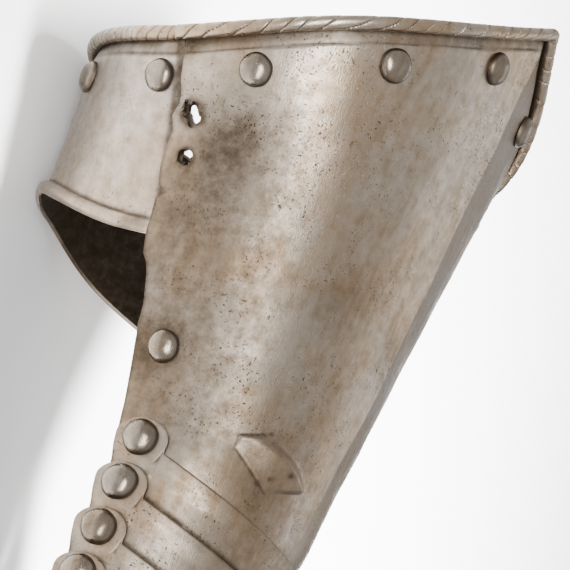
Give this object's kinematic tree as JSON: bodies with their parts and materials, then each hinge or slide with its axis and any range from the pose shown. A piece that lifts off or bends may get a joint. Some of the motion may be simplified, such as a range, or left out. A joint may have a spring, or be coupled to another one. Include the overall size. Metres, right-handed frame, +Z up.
{
  "type": "armour gauntlet",
  "caption": "Steel mitten gauntlet for the right hand, with a pointed riveted cuff and sliding lames, worn and torn at one seam.",
  "frame": {"origin": "middle of the box on the surface it lies on, palm down", "axes": "+X from the cuff's mouth to the fingers, +Y to the thumb side, +Z up through the back of the hand"},
  "size_m": [0.317, 0.1526, 0.1448],
  "materials": {
    "plate_steel": "bare steel, hand polished, warm grey patina with fine pits and rust specks",
    "rivet_steel": "bare steel rivet heads, rubbed brighter, brown at their feet"
  },
  "bodies": {
    "cuff": {"cuff_plate": "plate_steel", "inner_cuff_plate": "plate_steel", "lining_rivet_1": "rivet_steel", "lining_rivet_2": "rivet_steel", "lining_rivet_3": "rivet_steel", "lining_rivet_4": "rivet_steel", "lining_rivet_5": "rivet_steel", "lining_rivet_6": "rivet_steel", "palm_rivet_1": "rivet_steel", "palm_rivet_2": "rivet_steel", "palm_rivet_3": "rivet_steel", "palm_rivet_4": "rivet_steel", "palm_rivet_5": "rivet_steel", "seam_rivet_upper": "rivet_steel", "seam_rivet_lower": "rivet_steel", "side_rivet": "rivet_steel"},
    "hand_1": {"lame_1": "plate_steel", "pivot_1_near": "rivet_steel", "pivot_1_far": "rivet_steel"},
    "hand_2": {"lame_2": "plate_steel", "pivot_2_near": "rivet_steel", "pivot_2_far": "rivet_steel"},
    "hand_3": {"lame_3": "plate_steel", "pivot_3_near": "rivet_steel", "pivot_3_far": "rivet_steel"},
    "hand_4": {"lame_4": "plate_steel", "pivot_4_near": "rivet_steel", "pivot_4_far": "rivet_steel"},
    "knuckles": {"knuckle_plate": "plate_steel", "pivot_5_near": "rivet_steel", "pivot_5_far": "rivet_steel", "pivot_6_near": "rivet_steel", "pivot_6_far": "rivet_steel"},
    "fingers_1": {"finger_lame_1": "plate_steel", "pivot_7_near": "rivet_steel", "pivot_7_far": "rivet_steel"},
    "fingers_2": {"finger_lame_2": "plate_steel", "pivot_8_near": "rivet_steel", "pivot_8_far": "rivet_steel"},
    "fingertips": {"finger_tip": "plate_steel"},
    "thumb": {"thumb_plate": "plate_steel", "thumb_rivet": "rivet_steel"}
  },
  "joints": [
    {"name": "wrist_lame_1", "type": "hinge", "parent": "cuff", "child": "hand_1", "pos_m": [0.01307, 0, 0.07335], "axis": [0, 1, 0], "range_deg": [-3, 6]},
    {"name": "wrist_lame_2", "type": "hinge", "parent": "hand_1", "child": "hand_2", "pos_m": [0.02757, 0, 0.07195], "axis": [0, 1, 0], "range_deg": [-3, 6]},
    {"name": "wrist_lame_3", "type": "hinge", "parent": "hand_2", "child": "hand_3", "pos_m": [0.04207, 0, 0.07055], "axis": [0, 1, 0], "range_deg": [-3, 6]},
    {"name": "wrist_lame_4", "type": "hinge", "parent": "hand_3", "child": "hand_4", "pos_m": [0.05657, 0, 0.06915], "axis": [0, 1, 0], "range_deg": [-3, 6]},
    {"name": "knuckle", "type": "hinge", "parent": "hand_4", "child": "knuckles", "pos_m": [0.07107, 0, 0.06775], "axis": [0, 1, 0], "range_deg": [-3, 6]},
    {"name": "finger_1", "type": "hinge", "parent": "knuckles", "child": "fingers_1", "pos_m": [0.10507, 0, 0.07235], "axis": [0, 1, 0], "range_deg": [-9, 8]},
    {"name": "finger_2", "type": "hinge", "parent": "fingers_1", "child": "fingers_2", "pos_m": [0.12507, 0, 0.05135], "axis": [0, 1, 0], "range_deg": [-9, 8]},
    {"name": "finger_3", "type": "hinge", "parent": "fingers_2", "child": "fingertips", "pos_m": [0.13507, 0, 0.02535], "axis": [0, 1, 0], "range_deg": [-9, 8]},
    {"name": "thumb_swing", "type": "hinge", "parent": "cuff", "child": "thumb", "pos_m": [-0.01478, 0.04623, 0.07185], "axis": [0.2236, 0.9737, -0.0429], "range_deg": [-3, 12]}
  ]
}
